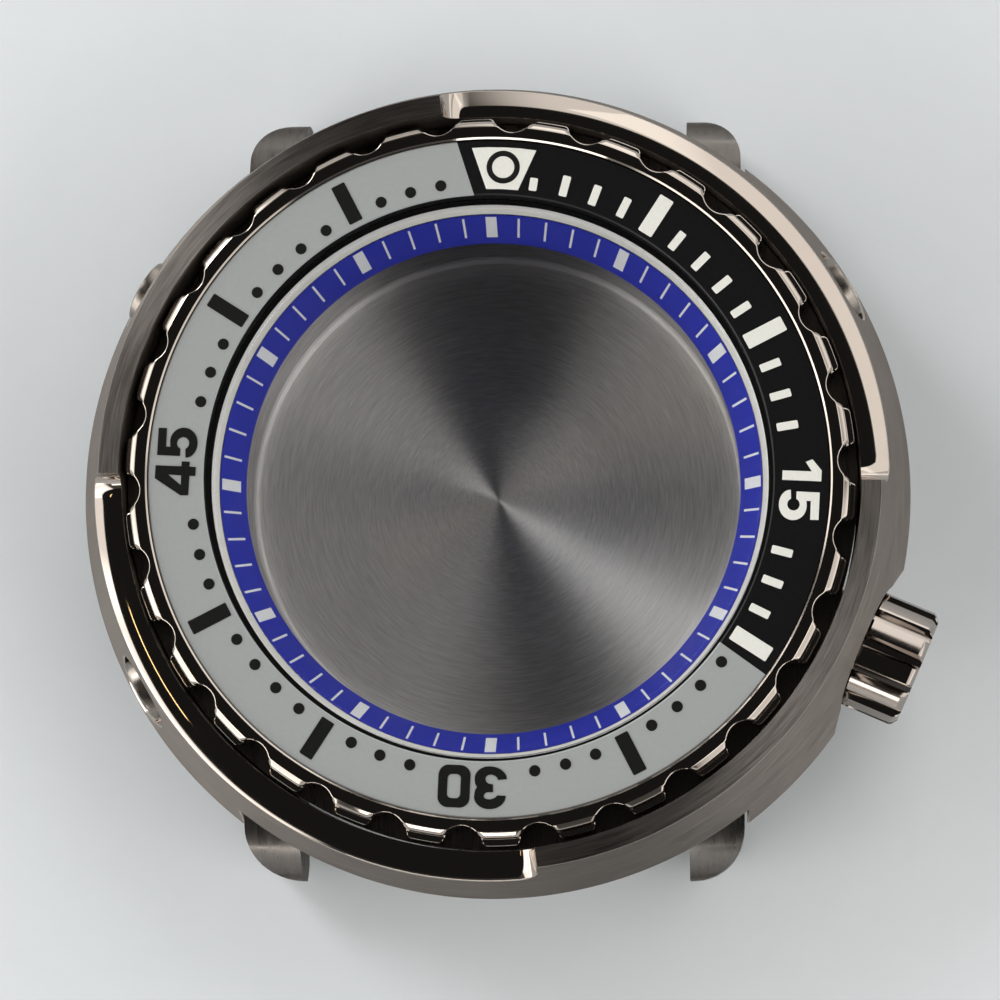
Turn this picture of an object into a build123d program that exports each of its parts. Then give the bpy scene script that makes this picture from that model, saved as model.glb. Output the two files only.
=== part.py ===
from build123d import *
import math
import os

# An empty diver's watch case with a screwed-on guard ring round a turning bezel.
# Sizes are in millimetres. Z runs up through the crystal, Y points to twelve o'clock
# and X to three. Zero is the middle of the case back's outer face. Angles are in
# degrees, clockwise from twelve as seen from above.

# Overrun of a cutting tool past the face it cuts.
overrun = 1.0

# Drum of the case. The other radii of the case, bezel and guard ring are stepped off from it.
case_r = 20.5
shoulder_w = 3.6
neck_wall = 1.05
crystal_seal_t = 0.33
seal_fit = 0.02
crystal_seat_w = 0.3
back_thread_step = 0.7
underside_w = 2.3

# Heights of the case, stacked from the case back up.
back_rim_t = 1.0
thread_depth = 2.2
underside_bevel_h = 2.2
movement_h = 4.7
chapter_h = 2.4
chapter_top_gap = 0.05
neck_h = 1.15
neck_turn_h = 1.9

# Rim that keeps the bezel on the neck, and the seal ring that the bezel runs on.
neck_rim_out = 0.55
neck_rim_t = 0.35
bezel_rim_fit = 0.1
bezel_seal_t = 0.36
bezel_seal_h = 0.9
bezel_fit = 0.04

# Lugs and the gap for the strap.
lug_gap = 22.0
lug_t = 3.1
lug_out = 1.5
lug_root = 7.5
lug_h = 5.7
lug_drop = 0.5
lug_toe = 0.9
lug_tip_flat = 0.9
lug_corner_r = 2.9
strap_wall_in = 3.2
bar_hole_r = 0.6
bar_in = 2.4
bar_up = 2.5

# Crystal.
crystal_t = 2.55
crystal_bevel = 0.4

# Chapter ring with its sloping minute track.
chapter_w = 1.21
chapter_fit = 0.02
chapter_lip_t = 0.3

# Case back.
back_plate_t = 1.7
back_wall_h = 2.0
back_wall_t = 1.85
back_thread_fit = 0.05
back_rim_w = 1.2
back_key_count = 6
back_key_w = 2.6
back_key_deep = 1.0
back_key_h = 0.6
back_seal_w = 0.8
back_seal_h = 0.55

# Bezel.
bezel_lift = 0.2
bezel_floor_gap = 0.55
bezel_guard_gap = 0.25
bezel_ledge_h = 1.95
bezel_ledge_slope = 0.08
bezel_ledge_w = 0.38
bezel_crest_w = 0.1
bezel_bevel_w = 0.27
bezel_bevel_h = 0.35
bezel_rim_w = 0.7
bezel_rim_above_insert = 0.15
notch_count = 30
notch_r = 1.15
notch_deep = 1.04
notch_angle = 3.95
click_count = 60
click_in = 0.8
click_w = 0.95
click_h = 0.3
click_share = 0.7

# Bezel insert.
insert_w = 3.12
insert_t = 1.1
insert_fit = 0.03

# Click spring in the case shoulder under the bezel.
spring_angle = 45.0
spring_len = 7.0
spring_w = 0.9
spring_t = 0.2
spring_pocket_gap = 0.2
spring_pocket_h = 0.6
spring_tip_gap = 0.15
spring_tip_l = 0.5

# Guard ring: a cone outside, a plain bore inside, two high and two low runs on top.
guard_fit = 0.1
guard_top_wall = 1.1
guard_skirt_wall = 3.05
guard_skirt_h = 4.73
guard_rise = 3.2
guard_low_out_drop = 2.15
guard_low_in_drop = 1.7
guard_low_bevel = 0.35
guard_end_round = 1.25
guard_edge_chamfer = 0.12
guard_high_count = 2
guard_high_angle = 131.8
guard_high_half_angle = 41.0
strap_cut_gap = 0.15
strap_cut_above = 0.2

# Guard ring screws, one each at two, eight and ten o'clock.
screw_2_angle = 60.0
screw_8_angle = 240.0
screw_10_angle = 300.0
screw_drop = 2.2
screw_head_r = 1.85
screw_head_h = 0.8
screw_head_chamfer = 0.25
screw_hex = 1.5
screw_hex_deep = 0.6
screw_r = 1.0
screw_fit = 0.1
screw_thread_fit = 0.02
screw_len = 4.0
screw_tip_gap = 0.3
screw_pocket_r = 2.2
screw_seat_out = 1.7

# Crown, its tube and the recess in the guard ring round it.
crown_angle = 113.3
stem_h = 2.3
crown_r = 3.4
crown_gap = 0.9
crown_chamfer = 0.4
crown_ridges = 12
crown_ridge_angle = 17.0
crown_groove_w = 0.8
crown_groove_floor_w = 0.35
crown_groove_deep = 0.42
crown_end_t = 0.8
crown_dish_r = 1.9
crown_dish_deep = 0.12
crown_arch_gap = 0.45
crown_pad_sink = 0.8
crown_pad_w = 3.0
crown_pad_rise = 0.6
tube_r = 1.5
tube_thread_r = 1.8
tube_bore_r = 1.0
tube_press_fit = 0.02
tube_pressed = 4.4
tube_proud = 2.6
tube_boss_r = 2.6
tube_boss_out = 0.9
crown_thread_fit = 0.07
crown_seal_t = 0.42
crown_seal_h = 0.5
crown_seal_lift = 0.03
post_r = 0.9
post_len = 3.66
post_head_r = 1.5
post_head_t = 0.4
post_head_gap = 0.06
stem_hole_r = 0.45
stem_hole_deep = 2.5
crown_spring_r = 1.3
crown_spring_wall = 0.35
crown_spring_h = 0.79

# Heights that follow from the ones above.
cavity_z = back_rim_t + thread_depth
dial_seat_z = cavity_z + movement_h
crystal_seat_z = dial_seat_z + chapter_h + chapter_top_gap
crystal_top_z = crystal_seat_z + crystal_t
neck_top_z = crystal_seat_z + neck_h
shoulder_z = neck_top_z - neck_turn_h
lug_top_z = back_rim_t + lug_h
lug_foot_z = back_rim_t - lug_drop
lug_roll_z = lug_foot_z + lug_toe + lug_tip_flat
lug_roll_r = lug_top_z - lug_roll_z
bar_z = lug_foot_z + bar_up
bezel_z = shoulder_z + bezel_lift
bezel_ledge_z = bezel_z + bezel_ledge_h
insert_z = neck_top_z + bezel_floor_gap
insert_top_z = insert_z + insert_t
bezel_top_z = insert_top_z + bezel_rim_above_insert
guard_skirt_z = shoulder_z - guard_skirt_h
guard_top_z = shoulder_z + guard_rise
guard_low_out_z = guard_top_z - guard_low_out_drop
guard_low_in_z = guard_top_z - guard_low_in_drop
strap_cut_z = lug_top_z + strap_cut_above
screw_z = shoulder_z - screw_drop
crown_z = cavity_z + stem_h

# Radii that follow, from the drum inward and then from the drum outward.
neck_r = case_r - shoulder_w
neck_rim_r = neck_r + neck_rim_out
crystal_bore_r = neck_r - neck_wall
crystal_r = crystal_bore_r - crystal_seal_t - seal_fit
cavity_r = crystal_r - crystal_seat_w
chapter_in_r = cavity_r - chapter_fit - chapter_w
back_thread_r = cavity_r + back_thread_step
back_rim_r = back_thread_r + back_rim_w
underside_r = back_thread_r + underside_w
strap_wall_y = case_r - strap_wall_in
lug_root_y = case_r - lug_root
lug_tip_y = case_r + lug_out
bar_y = lug_tip_y - bar_in
guard_bore_r = case_r + guard_fit
guard_skirt_r = guard_bore_r + guard_skirt_wall
guard_top_r = guard_bore_r + guard_top_wall
bezel_bore_r = neck_r + bezel_seal_t + bezel_fit
bezel_out_r = guard_bore_r - bezel_guard_gap
bezel_ledge_r = bezel_out_r - bezel_ledge_w
bezel_top_r = bezel_ledge_r - bezel_crest_w - bezel_bevel_w
insert_out_r = bezel_top_r - bezel_rim_w - insert_fit
insert_in_r = insert_out_r - insert_w
click_in_r = bezel_bore_r + click_in
spring_mid_r = click_in_r + click_w / 2
screw_seat_r = guard_bore_r + screw_seat_out

# Node name and angle of each guard ring screw.
screw_angles = {
    "guard_screw_2": screw_2_angle,
    "guard_screw_8": screw_8_angle,
    "guard_screw_10": screw_10_angle,
}

# Distances along the crown, from the case axis out.
boss_end = case_r + tube_boss_out
tube_in = boss_end - tube_pressed
tube_out = boss_end + tube_proud
crown_in = boss_end + crown_gap
post_head = tube_out + post_head_gap
post_in = post_head - post_len
crown_floor = post_head + post_head_t + crown_spring_h
crown_out = crown_floor + crown_end_t
crown_bore_r = tube_thread_r + crown_thread_fit


def turned(*points):
    """A solid turned about Z from a closed outline of radius and height points."""
    outline = Polyline(*[(radius, 0, height) for radius, height in points], close=True)
    return revolve(make_face(outline), Axis.Z)


def hoop(inner_r, outer_r, low_z, high_z):
    """A plain ring of rectangular section."""
    return turned((inner_r, low_z), (outer_r, low_z), (outer_r, high_z), (inner_r, high_z))


def clock_plane(clock_angle, height):
    """A plane on the case axis whose Z looks outward at a clock angle, with Y upward."""
    angle = math.radians(clock_angle)
    outward = Vector(math.sin(angle), math.cos(angle), 0)
    return Plane(origin=(0, 0, height), x_dir=Vector(0, 0, 1).cross(outward), z_dir=outward)


def rod(plane, start, end, radius):
    """A round bar along a plane's normal, between two distances from the case axis."""
    return plane.offset(start) * Cylinder(radius, end - start, align=(Align.CENTER, Align.CENTER, Align.MIN))


def guard_cone_r(height):
    """Outer radius of the guard ring's cone at a height."""
    share = (height - guard_skirt_z) / (guard_top_z - guard_skirt_z)
    return guard_skirt_r + (guard_top_r - guard_skirt_r) * share


crown_plane = clock_plane(crown_angle, crown_z)


def lug(side_x, side_y):
    """One lug: a rolled side outline cut to a rounded plan, on the given quarter."""
    roll_y = lug_tip_y - lug_roll_r
    diagonal = lug_roll_r * math.sqrt(0.5)
    x_in = lug_gap / 2
    top = Line((0, lug_root_y, lug_top_z), (0, roll_y, lug_top_z))
    roll = ThreePointArc(
        (0, roll_y, lug_top_z),
        (0, roll_y + diagonal, lug_roll_z + diagonal),
        (0, lug_tip_y, lug_roll_z),
    )
    under = Polyline(
        (0, lug_tip_y, lug_roll_z),
        (0, lug_tip_y, lug_foot_z + lug_toe),
        (0, lug_tip_y - lug_toe, lug_foot_z),
        (0, underside_r, lug_foot_z),
        (0, underside_r - lug_toe, back_rim_t),
        (0, lug_root_y, back_rim_t),
        (0, lug_root_y, lug_top_z),
    )
    horn = extrude(Pos(x_in, 0, 0) * make_face([top, roll, *under.edges()]), lug_t, dir=(1, 0, 0))
    plan = Pos(x_in, 0, 0) * Box(lug_t, lug_tip_y, lug_top_z, align=(Align.MIN, Align.MIN, Align.MIN))
    corner = plan.edges().filter_by(Axis.Z).group_by(Axis.X)[-1].sort_by(Axis.Y)[-1]
    horn = horn & fillet(corner, lug_corner_r)
    if side_x < 0:
        horn = mirror(horn, about=Plane.YZ)
    if side_y < 0:
        horn = mirror(horn, about=Plane.XZ)
    return horn


def spring_pocket():
    """Slot in the case shoulder that holds the click spring."""
    plane = clock_plane(spring_angle, shoulder_z)
    return plane.offset(spring_mid_r) * Pos(0, overrun / 2 - spring_pocket_h / 2, 0) * Box(
        spring_len + 2 * spring_pocket_gap,
        spring_pocket_h + overrun,
        spring_w + 2 * spring_pocket_gap,
    )


def mid_case():
    """The case middle: bore, neck, shoulder, foot and four lugs in one piece of steel."""
    body = turned(
        (back_thread_r, back_rim_t + back_seal_h),
        (back_thread_r + back_seal_w, back_rim_t),
        (underside_r, back_rim_t),
        (case_r, back_rim_t + underside_bevel_h),
        (case_r, shoulder_z),
        (neck_r, shoulder_z),
        (neck_r, neck_top_z - neck_rim_t),
        (neck_rim_r, neck_top_z - neck_rim_t),
        (neck_rim_r, neck_top_z),
        (crystal_bore_r, neck_top_z),
        (crystal_bore_r, crystal_seat_z),
        (cavity_r, crystal_seat_z),
        (cavity_r, cavity_z),
        (back_thread_r, cavity_z),
    )
    gap_d = lug_tip_y - strap_wall_y + overrun
    gap_h = lug_top_z + overrun
    for side in (-1, 1):
        middle = Pos(0, side * (strap_wall_y + gap_d / 2), lug_top_z - gap_h / 2)
        body -= middle * Box(lug_gap, gap_d, gap_h)
    body += rod(crown_plane, case_r - tube_boss_out, boss_end, tube_boss_r)
    for side_x in (-1, 1):
        for side_y in (-1, 1):
            body += lug(side_x, side_y)
    body -= rod(crown_plane, cavity_r - overrun, boss_end + overrun, tube_r)
    body -= spring_pocket()
    for angle in screw_angles.values():
        end = screw_seat_r - screw_len - screw_tip_gap
        body -= rod(clock_plane(angle, screw_z), end, screw_seat_r, screw_r + screw_thread_fit)
    width = lug_gap + 2 * (lug_t + overrun)
    for side in (-1, 1):
        body -= Pos(0, side * bar_y, bar_z) * Rot(0, 90, 0) * Cylinder(bar_hole_r, width)
    return body


def low_run_z(radius):
    """Height of a low run's sloping top at a radius."""
    share = (radius - guard_bore_r) / (guard_cone_r(guard_low_out_z) - guard_bore_r)
    return guard_low_in_z + (guard_low_out_z - guard_low_in_z) * share


def guard_low_run():
    """Cutter for one low run: a bevelled outer edge, and a sweep up to each end wall."""
    edge_r = guard_cone_r(guard_low_out_z)
    inner = guard_bore_r - overrun
    outer = guard_skirt_r + overrun
    top = guard_top_z + overrun
    low = Polyline(
        (inner, 0, top),
        (inner, 0, low_run_z(inner)),
        (edge_r - guard_low_bevel, 0, low_run_z(edge_r - guard_low_bevel)),
        (edge_r, 0, guard_low_out_z - guard_low_bevel),
        (outer, 0, guard_low_out_z - guard_low_bevel),
        (outer, 0, top),
        close=True,
    )
    upper = Polyline(
        (inner, 0, top),
        (inner, 0, low_run_z(inner) + guard_end_round),
        (outer, 0, low_run_z(outer) + guard_end_round),
        (outer, 0, top),
        close=True,
    )
    span = 360 / guard_high_count - 2 * guard_high_half_angle
    turn = math.degrees(guard_end_round / edge_r)
    tool = Rot(0, 0, turn) * revolve(make_face(low), Axis.Z, revolution_arc=span - 2 * turn)
    tool += revolve(make_face(upper), Axis.Z, revolution_arc=span)
    axis = Line(
        (inner, 0, low_run_z(inner) + guard_end_round),
        (outer, 0, low_run_z(outer) + guard_end_round),
    )
    bar = Plane(origin=axis @ 0, z_dir=axis % 0) * Cylinder(
        guard_end_round, axis.length, align=(Align.CENTER, Align.CENTER, Align.MIN)
    )
    return tool + [Rot(0, 0, turn) * bar, Rot(0, 0, span - turn) * bar]


def crown_recess():
    """Cutter for the arch round the crown and the shallow dish that opens from it."""
    arch_r = crown_r + crown_arch_gap
    dish_in = guard_skirt_r - crown_pad_sink
    recess = turned(
        (0, 0),
        (arch_r, 0),
        (arch_r, dish_in),
        (arch_r + crown_pad_w, dish_in + crown_pad_rise),
        (arch_r + crown_pad_w, crown_out),
        (0, crown_out),
    )
    return crown_plane * recess


def guard_ring():
    """The guard ring with its high and low runs, strap cuts, crown recess and pockets."""
    body = turned(
        (guard_bore_r, guard_skirt_z),
        (guard_skirt_r, guard_skirt_z),
        (guard_cone_r(guard_top_z - guard_edge_chamfer), guard_top_z - guard_edge_chamfer),
        (guard_top_r - guard_edge_chamfer, guard_top_z),
        (guard_bore_r, guard_top_z),
    )
    for index in range(guard_high_count):
        angle = guard_high_angle + 360 / guard_high_count * index
        body -= Rot(0, 0, 90 - angle + guard_high_half_angle) * guard_low_run()
    cut_h = strap_cut_z - guard_skirt_z + overrun
    for side in (-1, 1):
        middle = Pos(0, side * (case_r + guard_skirt_r) / 2, strap_cut_z - cut_h / 2)
        body -= middle * Box(lug_gap + 2 * (lug_t + strap_cut_gap), guard_skirt_r, cut_h)
    body -= crown_recess()
    for angle in screw_angles.values():
        plane = clock_plane(angle, screw_z)
        body -= rod(plane, screw_seat_r, guard_skirt_r + overrun, screw_pocket_r)
        body -= rod(plane, case_r - overrun, screw_seat_r + overrun, screw_r + screw_fit)
    return body


def guard_screw(angle):
    """A socket head screw that ties the guard ring to the case."""
    plane = clock_plane(angle, screw_z)
    top = screw_seat_r + screw_head_h
    head = turned(
        (0, screw_seat_r),
        (screw_head_r, screw_seat_r),
        (screw_head_r, top - screw_head_chamfer),
        (screw_head_r - screw_head_chamfer, top),
        (0, top),
    )
    socket = extrude(RegularPolygon(screw_hex / 2, 6, major_radius=False), screw_hex_deep + overrun)
    head -= Pos(0, 0, top - screw_hex_deep) * socket
    return plane * head + rod(plane, screw_seat_r - screw_len, screw_seat_r, screw_r)


def crystal():
    """Flat crystal with a bevelled top edge."""
    return turned(
        (0, crystal_seat_z),
        (crystal_r, crystal_seat_z),
        (crystal_r, crystal_top_z - crystal_bevel),
        (crystal_r - crystal_bevel, crystal_top_z),
        (0, crystal_top_z),
    )


def crystal_seal():
    """Plastic ring pressed between the crystal and the neck."""
    inner = crystal_r + seal_fit / 2
    return hoop(inner, inner + crystal_seal_t, crystal_seat_z, neck_top_z)


def chapter_ring():
    """Ring with a sloping minute track, pressed into the bore just under the crystal."""
    return turned(
        (chapter_in_r, dial_seat_z),
        (cavity_r - chapter_fit, dial_seat_z),
        (cavity_r - chapter_fit, crystal_seat_z - chapter_top_gap),
        (chapter_in_r, dial_seat_z + chapter_lip_t),
    )


def case_back():
    """Screw-in case back with key notches round its rim."""
    wall_r = back_thread_r - back_thread_fit
    recess_r = wall_r - back_wall_t
    body = turned(
        (0, 0),
        (back_rim_r, 0),
        (back_rim_r, back_rim_t),
        (wall_r, back_rim_t),
        (wall_r, back_rim_t + back_wall_h),
        (recess_r, back_rim_t + back_wall_h),
        (recess_r, back_plate_t),
        (0, back_plate_t),
    )
    key = Pos(0, back_rim_r, 0) * Box(back_key_w, 2 * back_key_deep, 2 * back_key_h)
    for index in range(back_key_count):
        body -= Rot(0, 0, 360 / back_key_count * index) * key
    return body


def case_back_seal():
    """Seal ring squeezed into the bevelled corner between the case and its back."""
    return turned(
        (back_thread_r, back_rim_t),
        (back_thread_r + back_seal_w - 2 * seal_fit, back_rim_t),
        (back_thread_r, back_rim_t + back_seal_h - 2 * seal_fit),
    )


def bezel_seal():
    """Seal ring round the neck, on which the bezel runs."""
    top = neck_top_z - neck_rim_t
    return hoop(neck_r, neck_r + bezel_seal_t, top - bezel_seal_h, top)


def bezel_ring():
    """Turning bezel: scalloped grip edge, insert recess and click teeth underneath."""
    body = turned(
        (bezel_bore_r, bezel_z),
        (bezel_out_r, bezel_z),
        (bezel_out_r, bezel_ledge_z),
        (bezel_ledge_r, bezel_ledge_z + bezel_ledge_slope),
        (bezel_ledge_r - bezel_crest_w, bezel_top_z - bezel_bevel_h),
        (bezel_top_r, bezel_top_z),
        (insert_out_r + insert_fit, bezel_top_z),
        (insert_out_r + insert_fit, insert_z),
        (neck_rim_r + bezel_rim_fit, insert_z),
        (neck_rim_r + bezel_rim_fit, neck_top_z - neck_rim_t - bezel_rim_fit),
        (bezel_bore_r, neck_top_z - neck_rim_t - bezel_rim_fit),
    )
    body -= [notch_cutter(index) for index in range(notch_count)]
    body -= [click_cutter(index) for index in range(click_count)]
    return body


def notch_cutter(index):
    """Round cutter for one grip notch."""
    height = bezel_top_z - bezel_z + 2 * overrun
    tool = Cylinder(notch_r, height, align=(Align.CENTER, Align.CENTER, Align.MIN))
    angle = notch_angle + 360 / notch_count * index
    return Rot(0, 0, -angle) * Pos(0, bezel_out_r - notch_deep + notch_r, bezel_z - overrun) * tool


def click_cutter(index):
    """Saw-tooth slot for one click of the bezel."""
    pitch = 2 * math.pi * click_in_r / click_count
    slot = Polyline(
        (0, 0, bezel_z - overrun),
        (click_share * pitch, 0, bezel_z - overrun),
        (click_share * pitch, 0, bezel_z),
        (0, 0, bezel_z + click_h),
        close=True,
    )
    tool = extrude(make_face(slot), click_w, dir=(0, 1, 0))
    return Rot(0, 0, 360 / click_count * index) * Pos(0, click_in_r, 0) * tool


def bezel_insert():
    """Flat ring that carries the printed minute scale."""
    return hoop(insert_in_r, insert_out_r, insert_z, insert_top_z)


def click_spring():
    """Leaf spring whose raised tip clicks along the teeth under the bezel."""
    plane = clock_plane(spring_angle, 0).offset(spring_mid_r - spring_w / 2)
    half = spring_len / 2
    floor = shoulder_z - spring_pocket_h
    tip = bezel_z - spring_tip_gap
    side = Polyline(
        (-half, floor),
        (0, floor),
        (half - spring_tip_l, tip - spring_t - spring_tip_l / 2),
        (half, tip - spring_t - spring_tip_l),
        (half, tip - spring_tip_l),
        (half - spring_tip_l, tip),
        (half - 2 * spring_tip_l, tip - spring_tip_l / 2),
        (0, floor + spring_t),
        (-half, floor + spring_t),
        close=True,
    )
    return extrude(plane * make_face(side), spring_w)


def crown_tube():
    """Threaded tube pressed into the case side."""
    pressed = rod(crown_plane, tube_in, boss_end, tube_r - tube_press_fit)
    threaded = rod(crown_plane, boss_end, tube_out, tube_thread_r)
    return pressed + threaded - rod(crown_plane, tube_in - overrun, tube_out + overrun, tube_bore_r)


def crown_cap():
    """Ridged crown that screws down over the tube."""
    body = turned(
        (0, crown_out - crown_dish_deep),
        (crown_dish_r, crown_out - crown_dish_deep),
        (crown_dish_r + crown_dish_deep, crown_out),
        (crown_r - crown_chamfer, crown_out),
        (crown_r, crown_out - crown_chamfer),
        (crown_r, crown_in + crown_chamfer),
        (crown_r - crown_chamfer, crown_in),
        (crown_bore_r + crown_seal_t, crown_in),
        (crown_bore_r + crown_seal_t, crown_in + crown_seal_h + crown_seal_lift),
        (crown_bore_r, crown_in + crown_seal_h + crown_seal_lift),
        (crown_bore_r, crown_floor),
        (0, crown_floor),
    )
    root_r = crown_r - crown_groove_deep
    profile = Polyline(
        (root_r, -crown_groove_floor_w / 2),
        (root_r, crown_groove_floor_w / 2),
        (crown_r, crown_groove_w / 2),
        (crown_r + overrun, crown_groove_w / 2),
        (crown_r + overrun, -crown_groove_w / 2),
        (crown_r, -crown_groove_w / 2),
        close=True,
    )
    groove = Pos(0, 0, crown_in - overrun) * extrude(make_face(profile), crown_out - crown_in + 2 * overrun)
    for index in range(crown_ridges):
        body -= Rot(0, 0, crown_ridge_angle + 360 / crown_ridges * (index + 0.5)) * groove
    return crown_plane * body


def crown_seal():
    """Seal ring in the mouth of the crown, round the tube."""
    start = crown_in + crown_seal_lift
    ring = hoop(crown_bore_r, crown_bore_r + crown_seal_t - crown_seal_lift, start, start + crown_seal_h)
    return crown_plane * ring


def crown_post():
    """Post inside the crown that takes the movement's stem in a threaded hole."""
    body = rod(crown_plane, post_in, post_head, post_r)
    body += rod(crown_plane, post_head, post_head + post_head_t, post_head_r)
    return body - rod(crown_plane, post_in - overrun, post_in + stem_hole_deep, stem_hole_r)


def crown_spring():
    """Envelope of the small coil spring between the post's head and the crown."""
    ring = hoop(crown_spring_r - crown_spring_wall, crown_spring_r, post_head + post_head_t, crown_floor)
    return crown_plane * ring


def all_parts():
    """Every piece under its node name."""
    parts = {
        "mid_case": mid_case(),
        "guard_ring": guard_ring(),
        "crystal": crystal(),
        "crystal_seal": crystal_seal(),
        "chapter_ring": chapter_ring(),
        "case_back": case_back(),
        "case_back_seal": case_back_seal(),
        "bezel_ring": bezel_ring(),
        "bezel_seal": bezel_seal(),
        "bezel_insert": bezel_insert(),
        "click_spring": click_spring(),
        "crown_tube": crown_tube(),
        "crown_cap": crown_cap(),
        "crown_seal": crown_seal(),
        "crown_post": crown_post(),
        "crown_spring": crown_spring(),
    }
    for name, angle in screw_angles.items():
        parts[name] = guard_screw(angle)
    return parts


os.makedirs("parts", exist_ok=True)
for node, shape in all_parts().items():
    export_step(shape, f"parts/{node}.step")
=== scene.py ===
import bmesh
import bpy
import math
from mathutils import Matrix, Vector


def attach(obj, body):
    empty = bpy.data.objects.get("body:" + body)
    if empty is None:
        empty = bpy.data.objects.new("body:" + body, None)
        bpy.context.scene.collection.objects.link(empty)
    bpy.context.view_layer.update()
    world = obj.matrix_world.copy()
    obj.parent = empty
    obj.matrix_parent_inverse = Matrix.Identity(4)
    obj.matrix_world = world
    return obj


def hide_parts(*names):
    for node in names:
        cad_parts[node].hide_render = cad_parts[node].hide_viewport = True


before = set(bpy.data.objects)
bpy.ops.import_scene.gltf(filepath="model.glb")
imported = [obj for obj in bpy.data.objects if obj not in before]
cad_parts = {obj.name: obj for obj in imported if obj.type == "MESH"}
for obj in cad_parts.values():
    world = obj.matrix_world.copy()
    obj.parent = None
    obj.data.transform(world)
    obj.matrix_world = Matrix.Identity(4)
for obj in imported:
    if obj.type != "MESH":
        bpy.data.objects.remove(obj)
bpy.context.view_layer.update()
mm = 0.001


# Case middle: the steel body under everything else, turned, milled to four short lugs that are
# drilled through for the spring bars, then finely brushed and coated dark. The guard ring slides
# over its drum, and the case back screws into it from below.

def add(tree, kind, inputs=None, **settings):
    """A node in a tree, with its settings, and its inputs set from numbers or joined to sockets."""
    item = tree.nodes.new(kind)
    for name, value in settings.items():
        setattr(item, name, value)
    for name, value in (inputs or {}).items():
        if isinstance(value, bpy.types.NodeSocket):
            tree.links.new(value, item.inputs[name])
        else:
            item.inputs[name].default_value = value
    return item


def spread(tree, value, low, high, start=0.3, end=0.7, curve="LINEAR"):
    """A value moved from between its two limits into a range."""
    limits = {"Value": value, "From Min": start, "From Max": end, "To Min": low, "To Max": high}
    return add(tree, "ShaderNodeMapRange", limits, interpolation_type=curve).outputs["Result"]


def finish(name, colour, metallic, roughness, grain, dark, light, gloss=None, depth=0.0, full=False, **more):
    """A finish whose grain moves its colour and, where given, its roughness and height in millimetres."""
    made = bpy.data.materials.new(name)
    made.use_nodes = True
    tree = made.node_tree
    shader = tree.nodes["Principled BSDF"].inputs
    plain = {"Base Color": (*colour, 1.0), "Metallic": metallic, "Roughness": roughness, **more}
    for socket, setting in plain.items():
        shader[socket.replace("_", " ")].default_value = setting
    value = grain(tree)
    tones = spread(tree, value, 0.0, 1.0) if full else value
    mix = add(tree, "ShaderNodeMix", {0: tones, 6: (*dark, 1.0), 7: (*light, 1.0)}, data_type="RGBA")
    tree.links.new(mix.outputs[2], shader["Base Color"])
    if gloss:
        tree.links.new(spread(tree, value, *gloss), shader["Roughness"])
    if depth:
        bump = add(tree, "ShaderNodeBump", {"Height": value, "Strength": 1.0, "Distance": depth * mm})
        tree.links.new(bump.outputs[0], shader["Normal"])
    return made


def plain_grain(scale, detail=3.0, stretch=(1.0, 1.0, 1.0)):
    """Noise in the piece's own coordinates, drawn out along one axis where the stretch says so."""
    def grain(tree):
        place = add(tree, "ShaderNodeTexCoord").outputs["Object"]
        move = add(tree, "ShaderNodeMapping", {"Vector": place, "Scale": stretch}).outputs[0]
        settings = {"Vector": move, "Scale": scale, "Detail": detail, "Roughness": 0.6}
        return add(tree, "ShaderNodeTexNoise", settings).outputs[0]
    return grain


def placed(name, data):
    """A new object in the scene."""
    made = bpy.data.objects.new(name, data)
    bpy.context.scene.collection.objects.link(made)
    return made


def piece(name, mesh, body, slot, *nodes, mats=(), smooth=28.0):
    """Puts a finished mesh in the scene, on its body, in place of its CAD nodes."""
    made = placed(name, mesh)
    if mats:
        picks = [face.material_index for face in mesh.polygons]
        mesh.materials.clear()
        for mat in mats:
            mesh.materials.append(mat)
        mesh.polygons.foreach_set("material_index", picks)
    mesh.shade_smooth()
    mesh.set_sharp_from_angle(angle=math.radians(smooth))
    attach(made, body)
    if nodes:
        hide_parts(*nodes)
    return made


def evaluated(holder, name):
    """The plain mesh that an object's modifiers give, after which the object is taken away."""
    bpy.context.view_layer.update()
    depsgraph = bpy.context.evaluated_depsgraph_get()
    mesh = bpy.data.meshes.new_from_object(holder.evaluated_get(depsgraph))
    mesh.name = name
    bpy.data.objects.remove(holder)
    return mesh


def eased_copy(node, name, width):
    """A copy of a CAD node's mesh, merged, with its sharp edges eased by a small bevel."""
    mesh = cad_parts[node].data.copy()
    work = bmesh.new()
    work.from_mesh(mesh)
    bmesh.ops.remove_doubles(work, verts=work.verts, dist=0.0005 * mm)
    bmesh.ops.dissolve_limit(work, angle_limit=math.radians(0.6), verts=work.verts, edges=work.edges)
    work.to_mesh(mesh)
    work.free()
    holder = placed(name, mesh)
    bevel = holder.modifiers.new("ease", "BEVEL")
    bevel.width = width * mm
    bevel.segments = 2
    bevel.limit_method = "ANGLE"
    bevel.angle_limit = math.radians(35)
    bevel.use_clamp_overlap = True
    return evaluated(holder, name)


case_finish = finish(
    "brushed dark steel of the case", (0.17, 0.157, 0.146), 1.0, 0.3,
    plain_grain(4000.0, stretch=(1.0, 0.03, 0.3)), (0.14, 0.128, 0.118), (0.22, 0.204, 0.19),
    gloss=(0.24, 0.34), depth=0.0005, Specular_Tint=(0.4, 0.39, 0.38, 1.0))
case_edge = 0.1
case_mesh = eased_copy("mid_case", "case_middle", case_edge)
piece("case_middle", case_mesh, "case", "case_steel", "mid_case", mats=[case_finish], smooth=20.0)


# Guard ring: a heavy steel cone round the bezel, with two high brushed runs and two low
# polished ones, swept up at each end by a ball cutter. Its skirt is cut away over the lugs,
# bored for the crown, and pocketed for the three screws that hold it to the case.

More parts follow.
